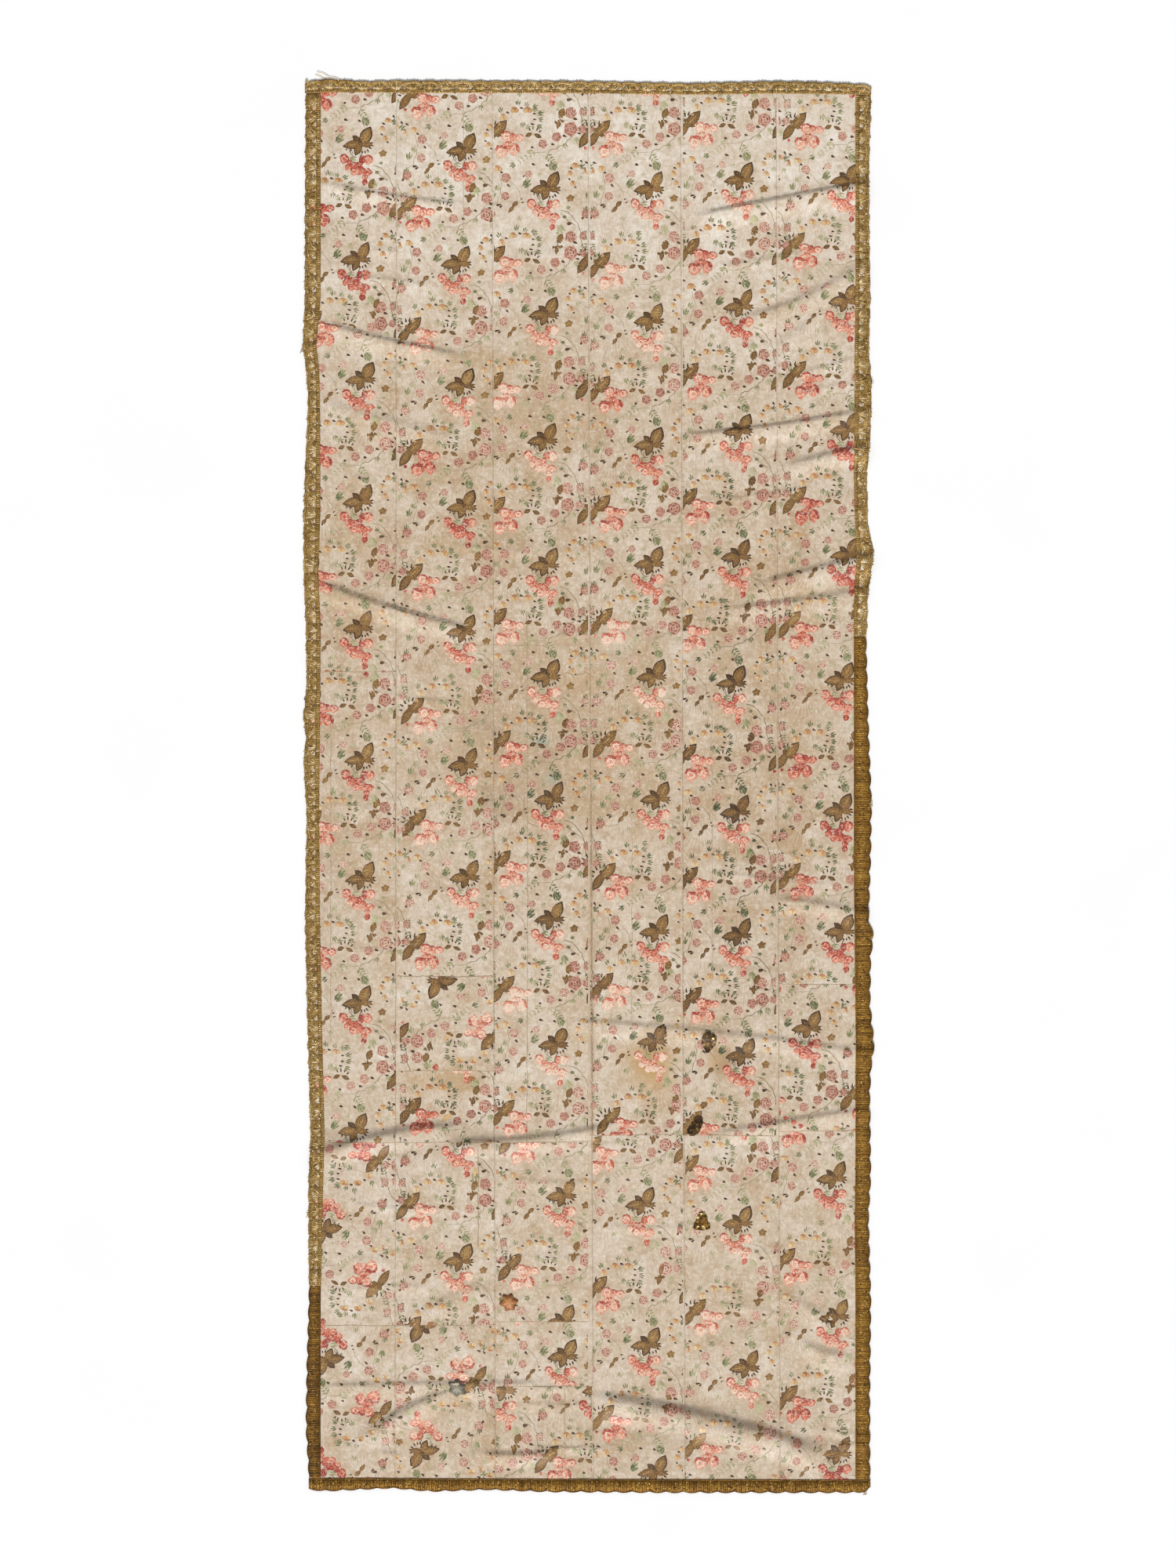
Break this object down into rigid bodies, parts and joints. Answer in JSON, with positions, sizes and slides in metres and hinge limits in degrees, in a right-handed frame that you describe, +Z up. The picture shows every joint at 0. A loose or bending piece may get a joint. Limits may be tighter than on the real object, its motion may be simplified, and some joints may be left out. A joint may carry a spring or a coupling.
{
  "type": "embroidered silk panel",
  "caption": "Long flat panel of flowered cream silk, pieced from lengthwise widths and edged all round with gold metal lace.",
  "frame": {"origin": "on the table under the middle of the panel", "axes": "+X to the right of the face, +Y to its upper end, +Z up out of the cloth"},
  "size_m": [1.013, 2.5055, 0.0122],
  "materials": {
    "silk": "soft sheen, woven",
    "openwork_lace": "metal thread, tarnished",
    "close_lace": "metal thread, tarnished",
    "dark_beadwork": "tarnished",
    "gold_beadwork": "satin",
    "grey_silk": "woven",
    "orange_silk": "woven"
  },
  "bodies": {
    "root": {"silk_width_1": "silk", "silk_width_2": "silk", "silk_width_3": "silk", "silk_width_4": "silk", "silk_width_5": "silk", "silk_width_6": "silk", "lace_top": "openwork_lace", "lace_left_upper": "openwork_lace", "lace_right_upper": "openwork_lace", "lace_left_lower": "close_lace", "lace_right_lower": "close_lace", "lace_bottom": "close_lace", "bead_patch_upper": "dark_beadwork", "bead_patch_middle": "dark_beadwork", "bead_patch_lower": "gold_beadwork", "leaf_patch_grey": "grey_silk", "leaf_patch_orange": "orange_silk"}
  },
  "joints": []
}
